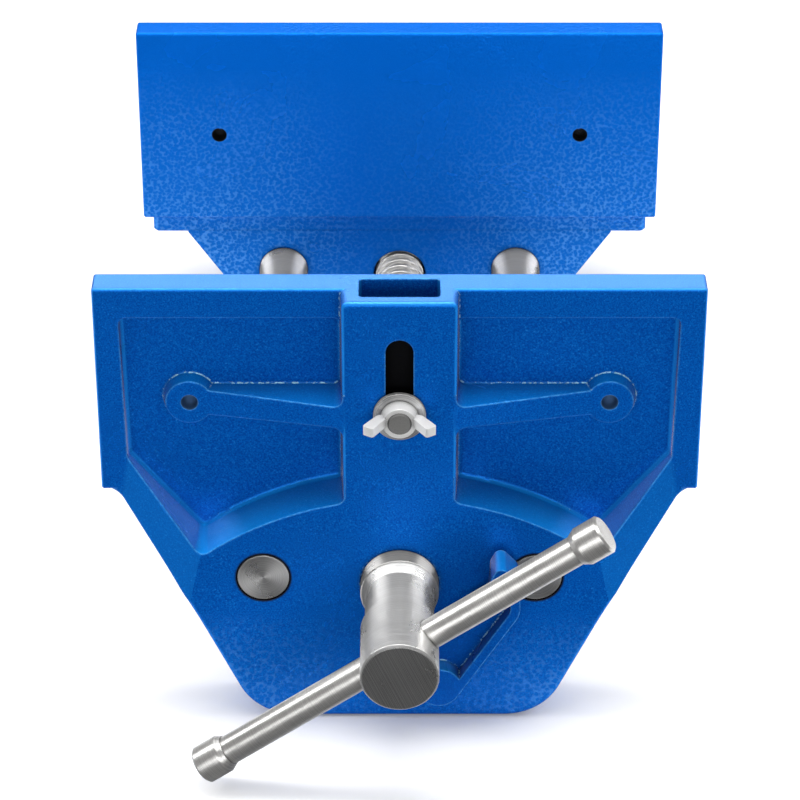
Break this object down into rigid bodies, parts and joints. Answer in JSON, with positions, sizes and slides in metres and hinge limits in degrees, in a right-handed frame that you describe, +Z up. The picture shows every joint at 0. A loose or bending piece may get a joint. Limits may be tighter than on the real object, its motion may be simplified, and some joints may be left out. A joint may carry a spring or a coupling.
{
  "type": "woodworking vise",
  "caption": "Woodworking bench vise: wide painted cast jaws on guide bars, closed by a screw with a sliding tommy bar, with a quick-release lever and a rising dog.",
  "frame": {"origin": "centre of the four bench bolts, on the face of the mounting flange that lies against the underside of the bench", "axes": "+X to the right of the person at the vise, +Y away from them under the bench, +Z up"},
  "size_m": [0.254, 0.551, 0.202],
  "materials": {
    "blue_paint": "hammertone enamel, glossy",
    "ground_steel": "turned and ground",
    "screw_steel": "turned, lightly oiled",
    "forged_steel": "turned, satin",
    "black_steel": "blackened",
    "nickel_plate": "satin nickel",
    "zinc_plate": "zinc plated",
    "nut_iron": "bare casting, machined bores",
    "spring_steel": "drawn wire"
  },
  "bodies": {
    "bench_side": {"rear_jaw": "blue_paint", "half_nut_pin": "screw_steel", "pin_clip": "zinc_plate"},
    "carriage": {"front_jaw": "blue_paint", "guide_bar_left": "ground_steel", "guide_bar_right": "ground_steel", "end_bracket": "blue_paint", "tie_washers": "zinc_plate", "tie_nuts": "zinc_plate"},
    "screw": {"main_screw": "screw_steel", "screw_hub": "forged_steel", "thrust_washer": "forged_steel", "screw_collar": "forged_steel", "collar_pin": "zinc_plate", "screw_clip": "spring_steel"},
    "handle": {"tommy_bar": "ground_steel", "handle_knob_left": "ground_steel", "handle_knob_right": "ground_steel"},
    "dog_body": {"dog": "black_steel", "dog_stud": "zinc_plate", "dog_washer": "nickel_plate"},
    "wing_nut_body": {"wing_nut": "nickel_plate"},
    "lever": {"release_lever": "blue_paint", "release_bar": "screw_steel", "lever_pin": "zinc_plate", "lever_spring": "spring_steel", "spring_collar": "zinc_plate", "release_clip": "spring_steel"},
    "cam": {"release_cam": "nut_iron"},
    "nut": {"half_nut": "nut_iron"}
  },
  "joints": [
    {"name": "jaw_slide", "type": "slide", "parent": "bench_side", "child": "carriage", "axis": [0, 1, 0], "range_m": [-0.0568, 0.2427]},
    {"name": "screw_turn", "type": "hinge", "parent": "carriage", "child": "screw", "pos_m": [0, -0.35, -0.0357], "axis": [0, 1, 0], "range_deg": [-3407.5, 14561.5]},
    {"name": "handle_slide", "type": "slide", "parent": "screw", "child": "handle", "axis": [0.8192, 0, 0.5736], "range_m": [-0.07, 0.07]},
    {"name": "dog_slide", "type": "slide", "parent": "carriage", "child": "dog_body", "axis": [0, 0, 1], "range_m": [0, 0.0285]},
    {"name": "wing_nut_turn", "type": "hinge", "parent": "dog_body", "child": "wing_nut_body", "pos_m": [0, -0.35, 0.0464], "axis": [0, -1, 0], "range_deg": [0, 360]},
    {"name": "release_lever_turn", "type": "hinge", "parent": "carriage", "child": "lever", "pos_m": [0.017, -0.35, -0.081], "axis": [0, -1, 0], "range_deg": [0, 16], "stiffness_Nm_per_rad": 0.8, "springref_deg": -22.92},
    {"name": "cam_turn", "type": "hinge", "parent": "bench_side", "child": "cam", "pos_m": [0.017, -0.02, -0.081], "axis": [0, -1, 0], "range_deg": [0, 16.05]},
    {"name": "half_nut_turn", "type": "hinge", "parent": "bench_side", "child": "nut", "pos_m": [0.03, -0.02, -0.053], "axis": [0, -1, 0], "range_deg": [0, 10.6]}
  ],
  "couplings": [
    {"joint": "jaw_slide", "follows": "screw_turn", "m_per_rad": 0.00095493},
    {"joint": "cam_turn", "follows": "release_lever_turn", "ratio": 1},
    {"joint": "half_nut_turn", "follows": "release_lever_turn", "ratio": 0.655}
  ]
}
